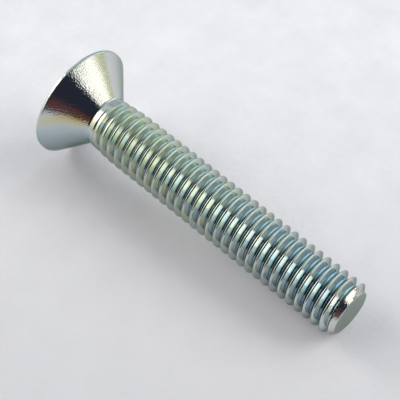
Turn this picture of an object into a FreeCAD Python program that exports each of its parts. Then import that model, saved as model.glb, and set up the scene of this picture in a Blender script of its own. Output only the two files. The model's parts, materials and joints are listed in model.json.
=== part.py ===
"""Countersunk screw with a hexagon socket, fully threaded, in millimetres.

One piece of steel: a flat head with a thin rim and a 90 degree seat, a short plain neck and a
rolled right-hand thread up to a chamfered tip. It is first made standing on its head, with the
head's face at height 0 and the tip on top, and is then laid down on its rim and its last crest.
+X runs from the head to the tip, +Z is up, and the origin is the middle of the box on the ground.
"""
import FreeCAD, Part
import math
import os
from FreeCAD import Placement, Rotation, Vector

# Whole screw
length = 35.0               # from the head's face to the end of the tip

# Thread
thread_diameter = 5.8       # over the crests
pitch = 1.0
groove_depth = 0.3          # a rolled groove is 0.61 deep, and this one is shallower to need few faces
crest_flat = 0.125
crest_offset = 0.0          # from whole pitches behind the head's face, on the side it lies on

# Head
head_diameter = 11.75
rim_height = 0.3
seat_angle_deg = 90.0       # the whole angle of the countersunk seat

# Hexagon socket
socket_across_flats = 4.0
socket_depth = 2.5          # to the corners, before the conical bottom
socket_point_deg = 120.0
socket_lead_in = 0.08       # how far the lead-in cone reaches past the corners
socket_lead_in_deg = 120.0

# Neck, run-in and tip
neck_diameter = 5.35        # the blank that the thread is rolled on
neck_length = 0.8
crest_run_in = 2.5          # along the axis, until the crests are full
groove_run_in = 1.2         # along the axis, until the grooves are full
tip_diameter = 4.5
tip_chamfer_deg = 45.0      # from the axis

# Making allowances
sunk = 0.05                 # how deep one shape is let into another
spare = 1.0                 # how far a cutting shape reaches past the screw

thread_radius = thread_diameter / 2
groove_radius = thread_radius - groove_depth
core_radius = groove_radius - sunk
bore_radius = core_radius - sunk
neck_radius = neck_diameter / 2
head_radius = head_diameter / 2
tip_radius = tip_diameter / 2
seat_slope = math.tan(math.radians(seat_angle_deg / 2))
seat_end = rim_height + (head_radius - neck_radius) / seat_slope
thread_start = seat_end + neck_length
chamfer_slope = math.tan(math.radians(tip_chamfer_deg))
chamfer_start = length - (thread_radius - tip_radius) / chamfer_slope
first_turn = math.floor((thread_start - crest_offset) / pitch) - 1
turns = math.ceil((length - crest_offset) / pitch) + 1 - first_turn
tube_start = first_turn * pitch + crest_offset
thread_top = tube_start + (turns + 1) * pitch


def section(points):
    """Flat face with a closed outline of (radius, height) points."""
    return Part.Face(Part.makePolygon([Vector(r, 0, z) for r, z in points + points[:1]]))


def turned(points):
    """Solid turned about the axis from a closed outline of (radius, height) points."""
    return section(points).revolve(Vector(0, 0, 0), Vector(0, 0, 1), 360)


def blank():
    """The head, its seat, the neck and the thread's core."""
    return turned([
        (0, 0),
        (head_radius, 0),
        (head_radius, rim_height),
        (neck_radius, seat_end),
        (neck_radius, thread_start),
        (core_radius, thread_start + groove_run_in),
        (core_radius, thread_top),
        (0, thread_top),
    ])


def raised(faces, height):
    """Copies of the faces, moved up the axis."""
    return [face.translated(Vector(0, 0, height)) for face in faces]


def thread_tube():
    """The threaded outside as a tube. One turn is swept, and its copies meet one above the other."""
    end = section([
        (groove_radius, -pitch / 2),
        (thread_radius, -crest_flat / 2),
        (thread_radius, crest_flat / 2),
        (groove_radius, pitch / 2),
        (bore_radius, pitch / 2),
        (bore_radius, -pitch / 2),
    ])
    sweep = Part.BRepOffsetAPI.MakePipeShell(Part.Wire(Part.makeHelix(pitch, pitch, thread_radius).Edges))
    sweep.setBiNormalMode(Vector(0, 0, 1))
    sweep.add(end.OuterWire)
    sweep.build()
    lower_flank, crest, upper_flank, upper_side, bore, lower_side = sweep.shape().Faces
    faces = [end, lower_side] + raised([upper_side], (turns - 1) * pitch) + raised([end], turns * pitch)
    for turn in range(turns):
        faces += raised([lower_flank, crest, upper_flank, bore], turn * pitch)
    shell = Part.makeShell(faces)
    shell.sewShape()
    return Part.makeSolid(shell).translated(Vector(0, 0, tube_start))


def thread_room():
    """The space that the thread may fill. A cone at the neck opens it up to the crests."""
    slope = (thread_radius - neck_radius) / crest_run_in
    outer = thread_radius + sunk
    return turned([
        (0, thread_start),
        (neck_radius - sunk, thread_start),
        (outer, thread_start + (outer - neck_radius + sunk) / slope),
        (outer, thread_top),
        (0, thread_top),
    ])


def tip_cutter():
    """What is taken off past the end face and outside the tip's chamfer."""
    wide = thread_radius + spare
    return turned([
        (0, length),
        (tip_radius, length),
        (wide, length - (wide - tip_radius) / chamfer_slope),
        (wide, thread_top + spare),
        (0, thread_top + spare),
    ])


def socket_cutter():
    """The hexagon with its conical bottom and the lead-in cone at the face."""
    corner = socket_across_flats / math.sqrt(3)
    point_slope = math.tan(math.radians(socket_point_deg / 2))
    corners = [math.radians(30 + 60 * i) for i in range(7)]
    outline = Part.makePolygon([Vector(corner * math.cos(t), corner * math.sin(t), 0) for t in corners])
    hexagon = Part.Face(outline).extrude(Vector(0, 0, socket_depth + corner / point_slope))
    wide = corner + sunk
    bottom = turned([
        (0, 0),
        (wide, 0),
        (wide, socket_depth - sunk / point_slope),
        (0, socket_depth + corner / point_slope),
    ])
    mouth = corner + socket_lead_in
    lead_in = turned([
        (0, 0),
        (mouth, 0),
        (0, mouth / math.tan(math.radians(socket_lead_in_deg / 2))),
    ])
    return hexagon.common(bottom).fuse(lead_in)


def lay_down(screw):
    """Tips the screw over until its rim and its last full crest both touch the ground."""
    last_crest = math.floor((chamfer_start - crest_offset) / pitch + 0.5) * pitch + crest_offset
    contact = min(last_crest + crest_flat / 2, chamfer_start)
    tilt = math.degrees(math.atan((head_radius - thread_radius) / (contact - rim_height)))
    lying = screw.copy()
    lying.Placement = Placement(Vector(0, 0, 0), Rotation(Vector(0, 1, 0), 90 + tilt))
    box = lying.optimalBoundingBox(False, False)
    lying.translate(Vector(-(box.XMin + box.XMax) / 2, -(box.YMin + box.YMax) / 2, -box.ZMin))
    print("tilt", round(tilt, 3), "degrees, contact at", round(contact, 3))
    return lying


screw = blank().fuse(thread_tube().common(thread_room())).cut(tip_cutter()).cut(socket_cutter())
lying = lay_down(screw)
solid = lying.Solids[0]
print("solids", len(lying.Solids), "valid", solid.isValid(), "volume", round(solid.Volume, 3))

os.makedirs("parts", exist_ok=True)
solid.exportStep("parts/countersunk_socket_screw.step")
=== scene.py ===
"""The looks of a countersunk socket screw: rolled thread and bright zinc plate, lying on white paper."""

import json
import math

import bmesh
import bpy
import numpy as np
from bpy.props import FloatProperty, FloatVectorProperty, IntProperty, PointerProperty
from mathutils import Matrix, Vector


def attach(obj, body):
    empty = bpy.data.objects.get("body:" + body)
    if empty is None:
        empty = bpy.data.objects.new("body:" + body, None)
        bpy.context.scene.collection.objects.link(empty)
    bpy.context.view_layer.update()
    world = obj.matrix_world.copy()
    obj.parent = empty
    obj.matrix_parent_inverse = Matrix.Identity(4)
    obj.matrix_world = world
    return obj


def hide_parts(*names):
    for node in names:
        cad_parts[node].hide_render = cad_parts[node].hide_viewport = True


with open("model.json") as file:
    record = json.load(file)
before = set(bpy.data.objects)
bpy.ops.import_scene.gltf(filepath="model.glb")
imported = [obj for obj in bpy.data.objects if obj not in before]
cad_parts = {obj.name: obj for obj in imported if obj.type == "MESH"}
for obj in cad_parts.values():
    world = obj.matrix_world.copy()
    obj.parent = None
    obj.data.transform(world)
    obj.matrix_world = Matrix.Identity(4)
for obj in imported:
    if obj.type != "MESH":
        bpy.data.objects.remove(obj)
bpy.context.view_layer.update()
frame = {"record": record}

bl_info = {
    "name": "Countersunk Socket Screw",
    "version": (1, 0, 0),
    "blender": (4, 5, 0),
    "location": "3D View > Sidebar > Screw",
    "description": "Makes a zinc plated countersunk socket screw with its rolled thread, and its stage",
    "category": "Add Mesh",
}

NODE = "countersunk_socket_screw"
MM = 0.001

# Angles of the screw, in degrees: its flanks from the axis, the whole cones of its socket, and how
# sharply two faces meet where the edge between them shows as a crisp line
FLANK_ANGLE = 60
SOCKET_CONE_ANGLE = 120
CRISP_ANGLE = 50

# Where the head's face, the thread's start and the tip's chamfer are along X on the lying screw
FACE_X = -17.3 * MM
THREAD_X = -13 * MM
CHAMFER_X = 17 * MM

# Towards the paper's painted shade and towards the wood past its edge, in degrees from +X towards +Y
PAINTED_SHADE_AZIMUTH = -52
WOOD_AZIMUTH = -20

# Half the paper's width, in metres, which takes it out of the picture on all sides
PAPER_HALF = 1.5

# The photograph's camera, fitted to the screw's outline and crests
SENSOR_WIDTH_MM = 36.0
LENS_MM = 123.3
CAMERA_PLACE_MM = (56.48, -61.64, 103.86)
CAMERA_AIM = (-0.43866, 0.47112, -0.76526)


def linear(hex_colour):
    """Turns an sRGB hex colour into the linear colour that Blender works in."""
    parts = [int(hex_colour[i:i + 2], 16) / 255 for i in (1, 3, 5)]
    return tuple(p / 12.92 if p <= 0.04045 else ((p + 0.055) / 1.055) ** 2.4 for p in parts)


def millimetres(name, description, size):
    """A length property whose default is given in millimetres."""
    return FloatProperty(name=name, description=description, default=size * MM, min=0.0, unit="LENGTH",
                         precision=5)


def degrees(name, description, angle):
    """An angle property whose default is given in degrees."""
    return FloatProperty(name=name, description=description, default=math.radians(angle), subtype="ANGLE")


def colour(name, description, hex_colour):
    """A colour property whose default is an sRGB hex value."""
    return FloatVectorProperty(name=name, description=description, default=linear(hex_colour), size=3,
                               subtype="COLOR", min=0.0, max=1.0)


def level(name, description, default):
    """A brightness property, where 1 renders as white."""
    return FloatProperty(name=name, description=description, default=default, min=0.0)


def factor(name, description, default):
    """A property from 0 to 1."""
    return FloatProperty(name=name, description=description, default=default, min=0.0, max=1.0,
                         subtype="FACTOR")


class ScrewSizes(bpy.types.PropertyGroup):
    """Sizes of the screw, as in the solid, but with the thread's full depth, a neck with a waist and a
    fillet, and rounded edges."""
    length: millimetres("Length", "From the head's face to the end of the tip", 35.0)
    head_diameter: millimetres("Head diameter", "Across the rim of the head", 11.75)
    rim_height: millimetres("Rim height", "Straight land round the head", 0.3)
    edge_round: millimetres("Edge rounding", "How far tumbling and plating round the edges off", 0.07)
    seat_angle: degrees("Seat angle", "Whole angle of the countersunk seat", 90.0)
    neck_diameter: millimetres("Neck diameter", "Plain neck between the seat and the thread", 5.35)
    neck_length: millimetres("Neck length", "Plain length below the seat", 0.8)
    neck_waist: millimetres("Neck waist", "How much the neck's radius narrows towards the seat", 0.1)
    neck_fillet: millimetres("Neck fillet", "How far the fillet reaches along the seat and the neck", 0.15)
    thread_diameter: millimetres("Thread diameter", "Over the crests", 5.8)
    pitch: millimetres("Pitch", "Rise of the thread in one turn", 1.0)
    thread_depth: millimetres("Thread depth", "From the crest down to the rounded root", 0.61)
    crest_round: millimetres("Crest rounding", "Blend between the crest's flat and its flanks", 0.05)
    root_round: millimetres("Root rounding", "Blend between the flanks and the root", 0.05)
    crest_run_in: millimetres("Crest run-in", "Length over which the crests rise to full height", 2.5)
    root_run_in: millimetres("Root run-in", "Length over which the grooves reach full depth", 0.6)
    tip_diameter: millimetres("Tip diameter", "Flat end inside the chamfer", 4.5)
    socket_across_flats: millimetres("Socket across flats", "Size of the hexagon key", 4.0)
    socket_depth: millimetres("Socket depth", "To the corners, before the conical bottom", 2.5)
    socket_lead_in: millimetres("Socket lead-in", "How far the lead-in cone reaches past the corners", 0.08)
    columns: IntProperty(name="Columns", description="Vertices round the screw, a multiple of 12",
                         default=108, min=24, max=240, step=12)
    rows: IntProperty(name="Rows", description="Vertices along one pitch of the thread",
                      default=24, min=8, max=32)


class PlatingLook(bpy.types.PropertyGroup):
    """Colours and grain of the plating."""
    silver: colour("Plate", "Bright zinc under a clear film", "#d0d5d2")
    straw: colour("Straw tint", "Where the film turns pale yellow on the head", "#cec594")
    green_straw: colour("Green tint", "The film on the thread near the head", "#cad3c3")
    pale_blue: colour("Pale blue tint", "The film on the thread near the tip", "#d0d8d7")
    # Low on the head this blue is painted shade for the shaded paper that the head reflects; in the flecks
    # and the tip's grooves it is the film's tint
    steel_blue: colour("Blue tint", "The thinnest film, low on the head and in the tip's grooves", "#a9c2cf")
    # Root shade is painted shade that darkens the thread's roots on the side that faces -Y
    root_shade: colour("Root shade", "The film in the thread's roots, on the side that dried last", "#5c7078")
    cut_end: colour("Cut end", "The duller plate on the sheared end and its chamfer", "#d5d8d4")
    glancing: colour("Glancing tint", "What the film leaves of a reflection at a glancing angle", "#b2bbb3")
    straw_height: millimetres("Straw height", "Height of the straw band on the head over the paper", 7.5)
    straw_width: millimetres("Straw width", "Height over which the straw band fades out to each side", 1.3)
    fleck: millimetres("Fleck", "Width of the straw and blue flecks of the film on the thread", 1.0)
    roughness: factor("Roughness", "Blur of the reflections", 0.09)
    dull: factor("Dull roughness", "Blur of the reflections on the thread by the head", 0.24)
    grain: millimetres("Grain", "Width of the seat's pebbled grain, drawn coarse enough to show", 0.16)
    grain_height: millimetres("Grain height", "Height of the seat's pebbled grain", 0.018)


class StageLook(bpy.types.PropertyGroup):
    """Colours and brightness of the paper and of the room that the plating reflects."""
    paper: colour("Paper", "White paper that the screw lies on", "#ece9ed")
    backdrop: colour("Backdrop", "Pale background above the horizon", "#e9e9eb")
    wall: colour("Wall", "Walls near the horizon", "#c8cbc6")
    ceiling: colour("Ceiling", "The ceiling, which is less lit than the walls", "#a2adb2")
    pale_wall: colour("Pale wall", "Walls beside the windows", "#eaf5f0")
    sky_blue: colour("Sky blue", "Cool light of the far window", "#d0eef4")
    warm_white: colour("Window light", "Daylight of the two big windows", "#fffaf2")
    khaki_wall: colour("Khaki wall", "Wall beside the right window", "#e4e4bc")
    dim_wall: colour("Dim wall", "Wall behind the far window", "#c0c8d4")
    shade: colour("Shaded side", "Shaded part of the room beside the unlit side", "#1f2a32")
    unlit: colour("Unlit side", "The side of the room that bright metal shows as a dark band", "#2a2e3c")
    wood: colour("Wood", "Brown wood low on the unlit side", "#603e40")
    right_window: level("Right window", "Brightness of the window at the right", 1.6)
    left_window: level("Left window", "Brightness of the window at the left", 2.6)
    far_window: level("Far window", "Brightness of the narrow window beyond the screw", 2.0)
    soft_light: level("Soft light", "How much the lamp by the right window lights the paper", 0.38)
    left_light: level("Left light", "How much the lamp by the left window lights the paper", 0.15)
    paper_glow: level("Paper glow", "Share of the paper's own colour that the camera sees unshaded", 0.2)


def add(tree, kind, inputs=None, **settings):
    """Adds a node. An input is a value, a node's output, or a node, whose first output is taken."""
    node = tree.nodes.new(kind)
    for name, value in settings.items():
        setattr(node, name, value)
    for name, value in (inputs or {}).items():
        socket = node.inputs[name] if isinstance(name, int) else next(
            s for s in node.inputs if s.enabled and s.name == name)
        if isinstance(value, bpy.types.Node):
            value = next(s for s in value.outputs if s.enabled)
        if isinstance(value, bpy.types.NodeSocket):
            tree.links.new(value, socket)
        elif socket.type == "RGBA":
            socket.default_value = (*value, 1.0)
        else:
            socket.default_value = value
    return node


def scaled(tint, brightness):
    """A colour made brighter or darker."""
    return tuple(part * brightness for part in tint)


def new_material(name):
    """An empty material, and its node tree."""
    material = bpy.data.materials.new(name)
    material.use_nodes = True
    material.node_tree.nodes.clear()
    return material, material.node_tree


def zinc_plate(look):
    """Bright zinc, electroplated on cold formed and rolled steel, under a clear passivation film.

    The eye gets a mirror that the seat's pebbled grain breaks up. The film drained from the head in a
    level band of straw as it dried, and goes from green straw to pale blue along the thread. Below the
    band, painted shade makes the head bluer and a little darker, for the shaded paper that it reflects.
    Painted shade darkens the roots on the -Y side. The film dims what the metal reflects at a glancing
    angle. The sheared end took a duller plate.
    """
    material, tree = new_material("bright_zinc_plate")
    place = add(tree, "ShaderNodeTexCoord").outputs["Object"]
    spot = add(tree, "ShaderNodeSeparateXYZ", {"Vector": place}).outputs

    # Broad clouds shift the borders of the film
    cloud_width = 4 * MM
    reach = 0.6 * MM
    clouds = add(tree, "ShaderNodeTexNoise", {"Vector": place, "Scale": 1 / cloud_width, "Detail": 2.0})
    drift = add(tree, "ShaderNodeMapRange", {"Value": clouds, "From Min": 0.3, "From Max": 0.7,
                                             "To Min": -reach, "To Max": reach})

    # The head has a straw band at one height on its -Y side. Below it, painted shade makes the head bluer and
    # a little darker, for the shaded paper that it reflects there
    height = add(tree, "ShaderNodeMath", {0: spot["Z"], 1: drift}, operation="ADD")
    below_straw = add(tree, "ShaderNodeMath", {0: look.straw_height, 1: height}, operation="SUBTRACT")
    gap = add(tree, "ShaderNodeMath", {0: below_straw}, operation="ABSOLUTE")
    in_band = add(tree, "ShaderNodeMapRange", {"Value": gap, "From Max": look.straw_width, "To Min": 1.0,
                                               "To Max": 0.0}, interpolation_type="SMOOTHSTEP")
    near_side = add(tree, "ShaderNodeMapRange", {"Value": spot["Y"], "From Max": -3 * MM})
    by_neck = add(tree, "ShaderNodeMapRange", {"Value": spot["X"], "From Min": FACE_X,
                                               "From Max": THREAD_X - 2 * MM, "To Min": 0.2})
    straw_share = add(tree, "ShaderNodeMath", {0: in_band, 1: near_side}, operation="MULTIPLY")
    straw_share = add(tree, "ShaderNodeMath", {0: straw_share, 1: by_neck}, operation="MULTIPLY")
    painted_blue_shade = add(tree, "ShaderNodeMapRange", {"Value": below_straw, "From Min": 0.3 * MM,
                                                  "From Max": look.straw_width, "To Max": 0.5})
    head_film_and_shade = add(tree, "ShaderNodeMix", {"Factor": straw_share, "A": look.silver, "B": look.straw},
                    data_type="RGBA")
    head_film_and_shade = add(tree, "ShaderNodeMix", {"Factor": painted_blue_shade, "A": head_film_and_shade, "B": look.steel_blue},
                    data_type="RGBA")

    # The thread goes from one colour to the other, with flecks of straw and of blue
    along = add(tree, "ShaderNodeMath", {0: drift, 1: 3.0, 2: spot["X"]}, operation="MULTIPLY_ADD")
    tipward = add(tree, "ShaderNodeMapRange", {"Value": along, "From Min": THREAD_X + 3 * MM,
                                               "From Max": CHAMFER_X - 3 * MM})
    thread_film = add(tree, "ShaderNodeMix", {"Factor": tipward, "A": look.green_straw, "B": look.pale_blue},
                      data_type="RGBA")
    on_head = add(tree, "ShaderNodeMapRange", {"Value": spot["X"], "From Min": THREAD_X + 0.7 * MM,
                                               "From Max": THREAD_X})
    flecks = add(tree, "ShaderNodeTexNoise", {"Vector": place, "Scale": 1 / look.fleck, "Detail": 2.0})
    for far, share, tint in ((0.7, 0.35, look.straw), (0.3, 0.6, look.steel_blue)):
        fleck = add(tree, "ShaderNodeMapRange", {"Value": flecks, "From Min": 0.5, "From Max": far,
                                                 "To Max": share})
        thread_film = add(tree, "ShaderNodeMix", {"Factor": fleck, "A": thread_film, "B": tint},
                          data_type="RGBA")
    film = add(tree, "ShaderNodeMix", {"Factor": on_head, "A": thread_film, "B": head_film_and_shade},
               data_type="RGBA")

    # The grooves are bluer towards the tip
    groove = add(tree, "ShaderNodeAttribute", attribute_name="groove").outputs["Fac"]
    in_groove = add(tree, "ShaderNodeMapRange", {"Value": groove, "From Min": 0.2, "From Max": 1.0,
                                                 "To Max": 0.8})
    deep_blue = add(tree, "ShaderNodeMath", {0: in_groove, 1: tipward}, operation="MULTIPLY")
    film = add(tree, "ShaderNodeMix", {"Factor": deep_blue, "A": film, "B": look.steel_blue},
               data_type="RGBA")

    # Painted shade: the roots are darkened on the side that faces -Y, and less so by the neck
    normal = add(tree, "ShaderNodeNewGeometry").outputs["Normal"]
    facing = add(tree, "ShaderNodeSeparateXYZ", {"Vector": normal}).outputs
    painted_shade_side = add(tree, "ShaderNodeMapRange", {"Value": facing["Y"], "From Min": -0.1, "From Max": -0.35,
                                                  "To Max": 0.8})
    in_root = add(tree, "ShaderNodeMapRange", {"Value": groove, "From Min": 0.7, "From Max": 1.0})
    in_root = add(tree, "ShaderNodeMath", {0: in_root, 1: painted_shade_side}, operation="MULTIPLY")
    past_neck = add(tree, "ShaderNodeMapRange", {"Value": spot["X"], "From Min": THREAD_X + 1 * MM,
                                                 "From Max": THREAD_X + 7 * MM, "To Min": 0.4})
    in_root = add(tree, "ShaderNodeMath", {0: in_root, 1: past_neck}, operation="MULTIPLY")
    film = add(tree, "ShaderNodeMix", {"Factor": in_root, "A": film, "B": look.root_shade},
               data_type="RGBA")

    # The sheared end and its chamfer
    on_tip = add(tree, "ShaderNodeMapRange", {"Value": spot["X"], "From Min": CHAMFER_X - 0.4 * MM,
                                              "From Max": CHAMFER_X})
    film = add(tree, "ShaderNodeMix", {"Factor": on_tip, "A": film, "B": look.cut_end}, data_type="RGBA")

    # The plate blurs more on the thread by the head, and its grain shows most on the head and the end
    grain = add(tree, "ShaderNodeTexNoise", {"Vector": place, "Scale": 1 / look.grain, "Detail": 1.0})
    thread_rough = add(tree, "ShaderNodeMapRange", {"Value": along, "From Min": THREAD_X + 1 * MM,
                                                    "From Max": THREAD_X + 17 * MM,
                                                    "To Min": look.dull, "To Max": look.roughness})
    rough = add(tree, "ShaderNodeMix", {"Factor": on_head, "A": thread_rough, "B": look.roughness},
                data_type="FLOAT")
    coarse = add(tree, "ShaderNodeMath", {0: on_head, 1: on_tip}, operation="MAXIMUM")
    grain_strength = add(tree, "ShaderNodeMapRange", {"Value": coarse, "To Min": 0.25, "To Max": 1.0})
    bump = add(tree, "ShaderNodeBump", {"Height": grain, "Strength": grain_strength,
                                        "Distance": look.grain_height})
    shader = add(tree, "ShaderNodeBsdfPrincipled",
                 {"Base Color": film, "Metallic": 1.0, "Roughness": rough, "Normal": bump,
                  "Specular Tint": look.glancing})
    add(tree, "ShaderNodeOutputMaterial", {"Surface": shader})
    return material


def paper_sheet(look):
    """Matt white writing paper, pressed from bleached fibres. The eye gets faint clouds and a soft shadow.

    The paper is painted a little darker towards the unlit side, as painted shade. Metal sees brown wood
    past the sheet's edge, and the camera sees more paper there.
    """
    material, tree = new_material("matt_white_paper")
    place = add(tree, "ShaderNodeTexCoord").outputs["Object"]
    near_side = add(tree, "ShaderNodeVectorMath", {0: place, 1: direction(PAINTED_SHADE_AZIMUTH, 0)},
                    operation="DOT_PRODUCT").outputs["Value"]
    tip_side = add(tree, "ShaderNodeVectorMath", {0: place, 1: direction(WOOD_AZIMUTH, 0)},
                   operation="DOT_PRODUCT").outputs["Value"]
    cloud_width = 5 * MM
    cloud_shade = scaled(look.paper, 0.92)
    clouds = add(tree, "ShaderNodeTexNoise", {"Vector": place, "Scale": 1 / cloud_width, "Detail": 6.0,
                                              "Roughness": 0.65})
    cloudy = add(tree, "ShaderNodeMapRange", {"Value": clouds, "From Min": 0.35, "From Max": 0.65})
    shade = add(tree, "ShaderNodeMix", {"Factor": cloudy, "A": cloud_shade, "B": look.paper},
                data_type="RGBA")
    # Painted shade: the paper is darkened towards the unlit side
    painted_shade_colour = scaled(look.paper, 0.72)
    painted_shade_share = add(tree, "ShaderNodeMapRange", {"Value": near_side, "From Min": -25 * MM, "From Max": 35 * MM})
    shade = add(tree, "ShaderNodeMix", {"Factor": painted_shade_share, "A": shade, "B": painted_shade_colour}, data_type="RGBA")
    path = add(tree, "ShaderNodeLightPath").outputs
    past_edge = add(tree, "ShaderNodeMapRange", {"Value": tip_side, "From Min": 27 * MM, "From Max": 32 * MM})
    wood_share = add(tree, "ShaderNodeMath", {0: past_edge, 1: path["Is Glossy Ray"]}, operation="MULTIPLY")
    shade = add(tree, "ShaderNodeMix", {"Factor": wood_share, "A": shade, "B": look.wood}, data_type="RGBA")
    tuft_width = 0.6 * MM  # Bundles of fibres, drawn coarser than real ones so that they show
    tuft_height = 0.03 * MM
    fibres = add(tree, "ShaderNodeTexNoise", {"Vector": place, "Scale": 1 / tuft_width, "Detail": 4.0})
    bump = add(tree, "ShaderNodeBump", {"Height": fibres, "Distance": tuft_height})
    lit = add(tree, "ShaderNodeBsdfPrincipled", {"Base Color": shade, "Roughness": 0.9, "Normal": bump})
    glow = add(tree, "ShaderNodeEmission", {"Color": shade, "Strength": 1.0})
    looked_at = add(tree, "ShaderNodeMath", {0: path["Is Camera Ray"], 1: path["Is Glossy Ray"]},
                    operation="MAXIMUM")
    seen = add(tree, "ShaderNodeMath", {0: looked_at, 1: look.paper_glow}, operation="MULTIPLY")
    mixed = add(tree, "ShaderNodeMixShader", {0: seen, 1: lit, 2: glow})
    add(tree, "ShaderNodeOutputMaterial", {"Surface": mixed})
    return material


def smooth_min(a, b, blend):
    """The lower of two values, rounded over where they meet."""
    share = np.clip(0.5 + 0.5 * (b - a) / blend, 0, 1)
    return b + (a - b) * share - blend * share * (1 - share)


def smooth_max(a, b, blend):
    """The higher of two values, rounded over where they meet."""
    return -smooth_min(-a, -b, blend)


def rounded(start, corner, end, steps=4):
    """Points of an outline that turn smoothly from one leg of a corner to the other."""
    start, corner, end = (np.array(p) for p in (start, corner, end))
    return [tuple((1 - t) ** 2 * start + 2 * t * (1 - t) * corner + t * t * end)
            for t in np.linspace(0, 1, steps + 1)]


class ScrewMesh:
    """Vertices and faces of the screw standing on its head, with the head's face at height 0."""

    def __init__(self, size):
        self.size = size
        self.turn = np.arange(size.columns) / size.columns
        self.points = []
        self.grooves = []
        self.faces = []
        self.count = 0
        self.thread_radius = size.thread_diameter / 2
        self.neck_radius = size.neck_diameter / 2
        self.tip_radius = size.tip_diameter / 2
        self.head_radius = size.head_diameter / 2
        self.socket_corner = size.socket_across_flats / math.sqrt(3)
        self.seat_slope = math.tan(size.seat_angle / 2)
        self.seat_end = size.rim_height + (self.head_radius - self.neck_radius) / self.seat_slope
        self.thread_start = self.seat_end + size.neck_length
        self.thread_end = size.length - size.edge_round

    def place(self, turn, radius, height, groove=0.0):
        """Adds vertices and returns their numbers."""
        turn, radius, height, groove = np.broadcast_arrays(turn, radius, height, groove)
        angle = 2 * math.pi * turn
        points = np.stack([radius * np.cos(angle), radius * np.sin(angle), height], -1)
        self.points.append(points.reshape(-1, 3))
        self.grooves.append(groove.reshape(-1))
        numbers = np.arange(self.count, self.count + turn.size).reshape(turn.shape)
        self.count += turn.size
        return numbers

    def band(self, ring, next_ring):
        """Joins two rings with four-sided faces."""
        self.faces += np.stack([ring, np.roll(ring, -1), np.roll(next_ring, -1), next_ring], -1).tolist()

    def carry_on(self, ring, outline):
        """Carries the surface on from a ring, through a ring at each radius and height of an outline."""
        for radius, height in outline:
            next_ring = self.place(self.turn, radius, height)
            self.band(ring, next_ring)
            ring = next_ring
        return ring

    def fan(self, ring, height):
        """Closes a ring with triangles to a point on the axis."""
        middle = int(self.place(0.0, 0.0, height))
        self.faces += [[int(a), int(b), middle] for a, b in zip(ring, np.roll(ring, -1))]

    def thread_form(self, turn, height):
        """Radius of the thread, and how deep in the groove it is, from 0 on the crest to 1 in the root."""
        size = self.size
        offset = height / size.pitch - turn
        from_crest = np.abs(offset - np.round(offset)) * size.pitch
        half_crest = size.pitch / 16
        flank_slope = math.tan(math.radians(FLANK_ANGLE))
        depth = smooth_max((from_crest - half_crest) * flank_slope, 0.0, size.crest_round)
        depth = smooth_min(depth, size.thread_depth, size.root_round)
        above = height - self.thread_start
        crest = self.neck_radius + (self.thread_radius - self.neck_radius) * above / size.crest_run_in
        chamfer = self.tip_radius + size.length - height
        root = self.neck_radius - (self.neck_radius - self.thread_radius + size.thread_depth) * np.clip(
            above / size.root_run_in, 0, 1)
        outer = smooth_min(smooth_min(self.thread_radius, crest, size.edge_round), chamfer, size.edge_round)
        radius = np.maximum(smooth_min(self.thread_radius - depth, outer, 0.5 * size.edge_round), root)
        return radius, np.clip((self.thread_radius - radius) / size.thread_depth, 0, 1)

    def add_thread(self, start_ring, end_ring):
        """A grid that follows the helix, so that its rows lie along the crests, between two rings.

        Each column runs the screw's whole length. Where it is past a ring, or so near that its faces
        would be slivers, the ring's own vertex stands in for the grid's.
        """
        size = self.size
        rows = size.rows
        first = math.floor((self.thread_start / size.pitch - 1) * rows)
        last = math.ceil(self.thread_end / size.pitch * rows)
        row = np.arange(first, last + 1) / rows
        turn = np.repeat(self.turn[:, None], len(row), 1)
        height = (row[None, :] + turn) * size.pitch
        near = 0.3 * size.pitch / rows
        below = height < self.thread_start + near
        beyond = height > self.thread_end - near
        inside = ~(below | beyond)
        numbers = np.where(below, start_ring[:, None], end_ring[:, None])
        radius, groove = self.thread_form(turn[inside], height[inside])
        numbers[inside] = self.place(turn[inside], radius, height[inside], groove)
        wrapped = np.concatenate([numbers[0, rows:], np.full(rows, end_ring[0])])
        ahead = np.concatenate([numbers[1:], wrapped[None, :]])
        quads = np.stack([numbers[:, :-1], ahead[:, :-1], ahead[:, 1:], numbers[:, 1:]], -1).reshape(-1, 4)
        for quad in quads.tolist():
            corners = list(dict.fromkeys(quad))
            if len(corners) > 2:
                self.faces.append(corners)

    def add_tip(self, ring):
        """The rounded edge and the flat end of the tip."""
        size = self.size
        edge = rounded((self.tip_radius + size.edge_round, self.thread_end), (self.tip_radius, size.length),
                       (self.tip_radius - 1.5 * size.edge_round, size.length))
        ring = self.carry_on(ring, edge[1:] + [(0.5 * self.tip_radius, size.length)])
        self.fan(ring, size.length)

    def head_outline(self):
        """Points from the neck's end over the seat and the rim to the mouth of the socket."""
        size = self.size
        run = math.cos(size.seat_angle / 2)
        rise = math.sin(size.seat_angle / 2)
        edge = size.edge_round
        fillet = size.neck_fillet
        seat_mid = (self.head_radius + self.neck_radius) / 2, (size.rim_height + self.seat_end) / 2
        mouth = self.socket_corner + size.socket_lead_in
        waist_radius = self.neck_radius - size.neck_waist
        waist_height = self.seat_end + size.neck_waist / self.seat_slope
        shoulder = self.thread_start - 0.1 * size.neck_length
        points = [(self.neck_radius - 0.1 * size.neck_waist, shoulder)]
        points += rounded((waist_radius, waist_height + fillet), (waist_radius, waist_height),
                          (waist_radius + fillet * rise, waist_height - fillet * run), 6)
        points += [seat_mid]
        points += rounded((self.head_radius - edge * rise, size.rim_height + edge * run),
                          (self.head_radius, size.rim_height), (self.head_radius, size.rim_height - edge))
        points += rounded((self.head_radius, edge), (self.head_radius, 0.0), (self.head_radius - edge, 0.0))
        points += [((self.head_radius + mouth) / 2, 0.0)]
        points += rounded((mouth + 0.5 * edge, 0.0), (mouth, 0.0), (mouth - 0.4 * edge, 0.25 * edge), 2)
        return points

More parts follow.
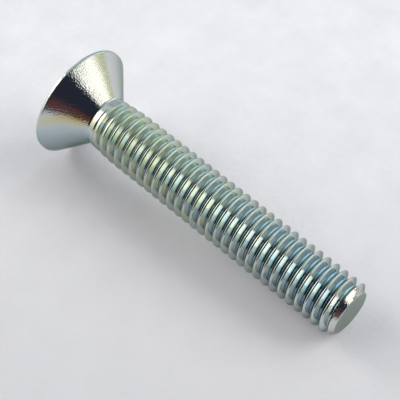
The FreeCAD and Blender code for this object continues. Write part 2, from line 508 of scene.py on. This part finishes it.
    def add_head(self, ring):
        """The neck, the seat, the rim, the face and the hexagon socket."""
        size = self.size
        ring = self.carry_on(ring, self.head_outline())
        sides = 6
        from_mid_side = (self.turn * sides) % 1 - 0.5
        hexagon = size.socket_across_flats / 2 / np.cos(from_mid_side * math.radians(360 / sides))
        cone_slope = math.tan(math.radians(SOCKET_CONE_ANGLE / 2))
        wall_top = (self.socket_corner + size.socket_lead_in - hexagon) / cone_slope
        wall_end = size.socket_depth + (self.socket_corner - hexagon) / cone_slope
        ring = self.carry_on(ring, [(hexagon, wall_top), (hexagon, 0.5 * size.socket_depth),
                                    (hexagon, wall_end)])
        self.fan(ring, size.socket_depth + self.socket_corner / cone_slope)

    def build(self):
        """Makes all the vertices and faces."""
        start_ring = self.place(self.turn, self.neck_radius, self.thread_start)
        end_ring = self.place(self.turn, self.tip_radius + self.size.edge_round, self.thread_end)
        self.add_thread(start_ring, end_ring)
        self.add_tip(end_ring)
        self.add_head(start_ring)
        return np.concatenate(self.points), self.faces, np.concatenate(self.grooves)


def lying_frame():
    """Where the head's face is, and the screw's own three directions as it lies, from the record's mounts."""
    mount = next(m for m in frame["record"]["mounts"] if m["name"] == "hex_socket")
    up_the_axis = -Vector(mount["axis"]).normalized()
    across = Vector((0, 1, 0))
    downward = across.cross(up_the_axis).normalized()
    return Vector(mount["pos_m"]), downward, across, up_the_axis


def add_mesh(name, points, faces, material):
    """A mesh object with outward, smooth faces."""
    mesh = bpy.data.meshes.new(name)
    mesh.from_pydata(points, [], faces)
    work = bmesh.new()
    work.from_mesh(mesh)
    bmesh.ops.recalc_face_normals(work, faces=work.faces)
    work.to_mesh(mesh)
    work.free()
    mesh.shade_smooth()
    mesh.materials.append(material)
    piece = bpy.data.objects.new(name, mesh)
    bpy.context.collection.objects.link(piece)
    return piece


class SCREW_OT_plated_screw(bpy.types.Operator):
    """Makes the screw as one closed mesh, with its thread, its head, its socket and its plating"""
    bl_idname = "screw.plated_screw"
    bl_label = "Plated Screw"

    def execute(self, context):
        points, faces, grooves = ScrewMesh(context.scene.screw_sizes).build()
        origin, downward, across, up_the_axis = lying_frame()
        turned = np.array([downward, across, up_the_axis])
        placed = points @ turned + np.array(origin)
        piece = add_mesh("plated_screw", placed.tolist(), faces, zinc_plate(context.scene.plating_look))
        piece.data.set_sharp_from_angle(angle=math.radians(CRISP_ANGLE))
        attribute = piece.data.attributes.new("groove", "FLOAT", "POINT")
        attribute.data.foreach_set("value", grooves)
        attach(piece, "root")
        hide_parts(NODE)
        return {"FINISHED"}


def direction(azimuth, elevation):
    """Unit vector for an azimuth from +X towards +Y and an elevation, in degrees."""
    a, e = math.radians(azimuth), math.radians(elevation)
    return Vector((math.cos(a) * math.cos(e), math.sin(a) * math.cos(e), math.sin(e)))


def soft_lamp(azimuth, elevation, width, distance, share):
    """A square lamp that faces the screw, and that metal doesn't show. Width and distance are in metres.

    Its power is what lights a white sheet there to the given share of white.
    """
    lamp = bpy.data.lights.new("soft_lamp", "AREA")
    lamp.size = width
    toward = direction(azimuth, elevation)
    lamp.energy = share * math.pi ** 2 * distance ** 2 / toward.z
    holder = bpy.data.objects.new("soft_lamp", lamp)
    holder.location = toward * distance
    holder.rotation_euler = toward.to_track_quat("Z", "Y").to_euler()
    holder.visible_glossy = False
    bpy.context.collection.objects.link(holder)


def room_world(look):
    """The room round the screw, by direction. Bright metal shows its windows, its unlit side and its wood."""
    world = bpy.data.worlds.new("pale_room")
    world.use_nodes = True
    tree = world.node_tree
    tree.nodes.clear()
    toward = add(tree, "ShaderNodeTexCoord").outputs["Generated"]
    parts = add(tree, "ShaderNodeSeparateXYZ", {"Vector": toward}).outputs
    azimuth = add(tree, "ShaderNodeMath", {0: parts["Y"], 1: parts["X"]}, operation="ARCTAN2")
    elevation = add(tree, "ShaderNodeMath", {0: parts["Z"]}, operation="ARCSINE")

    def with_patch(picture, shade, azimuths, elevations, soft):
        """The picture with a soft-edged patch between two azimuths and two elevations, in degrees."""
        share = 1.0
        for angle, (low, high) in ((azimuth, azimuths), (elevation, elevations)):
            for edge, fade in ((low, soft), (high, -soft)):
                side = add(tree, "ShaderNodeMapRange", {"Value": angle, "From Min": math.radians(edge - fade),
                                                        "From Max": math.radians(edge + fade)},
                           interpolation_type="SMOOTHSTEP")
                share = add(tree, "ShaderNodeMath", {0: share, 1: side}, operation="MULTIPLY")
        return add(tree, "ShaderNodeMix", {"Factor": share, "A": picture, "B": shade}, data_type="RGBA")

    upward = add(tree, "ShaderNodeMapRange", {"Value": elevation, "From Max": math.radians(35)})
    room = add(tree, "ShaderNodeMix", {"Factor": upward, "A": look.wall, "B": look.ceiling}, data_type="RGBA")

    # Beyond the screw
    room = with_patch(room, scaled(look.pale_wall, 0.8), (130, 180), (42, 64), 5)
    room = with_patch(room, look.pale_wall, (146, 162), (4, 46), 4)
    room = with_patch(room, look.dim_wall, (104, 132), (-2, 50), 4)
    room = with_patch(room, scaled(look.sky_blue, look.far_window), (78, 102), (4, 66), 3)

    # At the left, where the wall is brighter the nearer it is to the window
    room = with_patch(room, scaled(look.pale_wall, 1.1), (-140, -108), (-14, 14), 2)
    room = with_patch(room, scaled(look.pale_wall, 1.45), (-138, -110), (10, 58), 3)
    room = with_patch(room, scaled(look.warm_white, look.left_window), (-174, -126), (25, 60), 4)

    # At the right
    room = with_patch(room, look.khaki_wall, (50, 68), (-12, 36), 6)
    room = with_patch(room, scaled(look.warm_white, look.right_window), (9, 54), (-10, 32), 1.5)

    # On the -Y side, which has no light
    room = with_patch(room, look.shade, (-138, -60), (60, 80), 3)
    room = with_patch(room, look.shade, (-111, -60), (-16, 74), 2)
    room = with_patch(room, look.unlit, (-70, 9), (-30, 76), 2)
    room = with_patch(room, look.wood, (-70, -27), (-30, 9), 2)

    # The camera itself sees a plain backdrop
    lit = add(tree, "ShaderNodeBackground", {"Color": room, "Strength": 1.0})
    plain = add(tree, "ShaderNodeBackground", {"Color": look.backdrop, "Strength": 1.0})
    seen = add(tree, "ShaderNodeLightPath").outputs["Is Camera Ray"]
    mixed = add(tree, "ShaderNodeMixShader", {0: seen, 1: lit, 2: plain})
    add(tree, "ShaderNodeOutputWorld", {"Surface": mixed})
    return world


class SCREW_OT_stage(bpy.types.Operator):
    """Lays the paper, hangs the lamps, sets the room and places the camera"""
    bl_idname = "screw.stage"
    bl_label = "Stage"

    def execute(self, context):
        look = context.scene.stage_look
        corners = [(PAPER_HALF * x, PAPER_HALF * y, 0) for x, y in ((-1, -1), (1, -1), (1, 1), (-1, 1))]
        paper = add_mesh("paper", corners, [(0, 1, 2, 3)], paper_sheet(look))
        soft_lamp(azimuth=50, elevation=38, width=0.5, distance=0.8, share=look.soft_light)
        soft_lamp(azimuth=-172, elevation=27, width=0.3, distance=0.8, share=look.left_light)
        context.scene.world = room_world(look)
        camera = bpy.data.cameras.new("camera")
        camera.sensor_width = SENSOR_WIDTH_MM
        camera.lens = LENS_MM
        camera.clip_start = 0.01
        camera.clip_end = 10.0
        holder = bpy.data.objects.new("camera", camera)
        holder.location = [part * MM for part in CAMERA_PLACE_MM]
        holder.rotation_euler = Vector(CAMERA_AIM).to_track_quat("-Z", "Y").to_euler()
        context.collection.objects.link(holder)
        context.scene.camera = holder
        context.scene.view_settings.view_transform = "Standard"
        return {"FINISHED"}


class SCREW_PT_sidebar(bpy.types.Panel):
    """Sizes, looks and buttons of the screw"""
    bl_idname = "SCREW_PT_sidebar"
    bl_label = "Countersunk Screw"
    bl_space_type = "VIEW_3D"
    bl_region_type = "UI"
    bl_category = "Screw"

    def draw(self, context):
        for group in (context.scene.screw_sizes, context.scene.plating_look, context.scene.stage_look):
            column = self.layout.column(align=True)
            for name in group.bl_rna.properties.keys():
                if name not in ("rna_type", "name"):
                    column.prop(group, name)
        self.layout.operator(SCREW_OT_plated_screw.bl_idname)
        self.layout.operator(SCREW_OT_stage.bl_idname)


CLASSES = (ScrewSizes, PlatingLook, StageLook, SCREW_OT_plated_screw, SCREW_OT_stage, SCREW_PT_sidebar)


def register():
    """Registers the classes and hangs the properties on the scene."""
    for kind in CLASSES:
        bpy.utils.register_class(kind)
    bpy.types.Scene.screw_sizes = PointerProperty(type=ScrewSizes)
    bpy.types.Scene.plating_look = PointerProperty(type=PlatingLook)
    bpy.types.Scene.stage_look = PointerProperty(type=StageLook)


def unregister():
    """Takes the properties and the classes away again."""
    del bpy.types.Scene.stage_look
    del bpy.types.Scene.plating_look
    del bpy.types.Scene.screw_sizes
    for kind in reversed(CLASSES):
        bpy.utils.unregister_class(kind)


def main():
    """Makes the screw and the stage."""
    register()
    bpy.ops.screw.plated_screw()
    bpy.ops.screw.stage()


if __name__ == "__main__":
    main()
